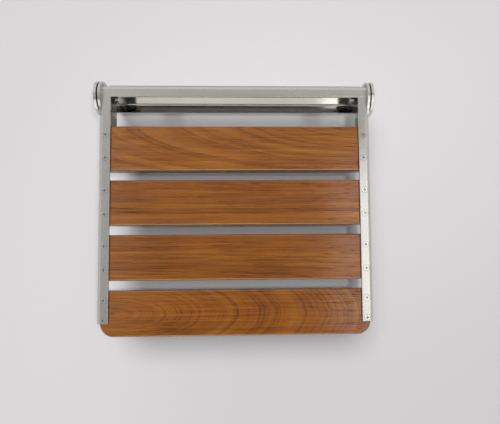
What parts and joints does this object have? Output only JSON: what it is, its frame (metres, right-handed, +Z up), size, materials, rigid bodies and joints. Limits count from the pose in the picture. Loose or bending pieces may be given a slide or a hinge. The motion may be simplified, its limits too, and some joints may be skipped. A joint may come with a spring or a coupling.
{
  "type": "fold down wall seat",
  "caption": "Fold down wall seat: wooden slats on a bent steel frame that turns on two bolts in a wall bracket.",
  "frame": {"origin": "centre of the wall plate's back face, at the centre of its screw pattern", "axes": "+X along the wall, +Y into the wall, +Z up; modelled folded down"},
  "size_m": [0.3792, 0.3515, 0.1115],
  "materials": {
    "frame_steel": "brushed, satin",
    "fixing_steel": "plain turned stainless steel",
    "oiled_oak": "oiled, orange brown, open grain",
    "black_nylon": "moulded, dull",
    "white_nylon": "moulded, dull",
    "black_rubber": "moulded, dull",
    "bush_bronze": "plain turned bearing bronze"
  },
  "bodies": {
    "wall_mount": {"wall_bracket": "frame_steel", "bumper_screws": "fixing_steel", "left_pivot_bolt": "fixing_steel", "left_steel_washer": "fixing_steel", "left_lock_nut": "fixing_steel", "left_nut_insert": "white_nylon", "left_stop_bumper": "black_rubber", "right_pivot_bolt": "fixing_steel", "right_steel_washer": "fixing_steel", "right_lock_nut": "fixing_steel", "right_nut_insert": "white_nylon", "right_stop_bumper": "black_rubber"},
    "seat": {"rear_channel": "frame_steel", "rear_slat": "oiled_oak", "second_slat": "oiled_oak", "third_slat": "oiled_oak", "front_slat": "oiled_oak", "left_rail": "frame_steel", "left_slat_screws": "fixing_steel", "left_pivot_bush": "bush_bronze", "left_hinge_boss": "frame_steel", "left_outer_friction_washer": "black_nylon", "left_inner_friction_washer": "black_nylon", "right_rail": "frame_steel", "right_slat_screws": "fixing_steel", "right_pivot_bush": "bush_bronze", "right_hinge_boss": "frame_steel", "right_outer_friction_washer": "black_nylon", "right_inner_friction_washer": "black_nylon"}
  },
  "joints": [
    {"name": "seat_fold", "type": "hinge", "parent": "wall_mount", "child": "seat", "pos_m": [0, -0.033, 0.061], "axis": [-1, 0, 0], "range_deg": [0, 93]}
  ]
}
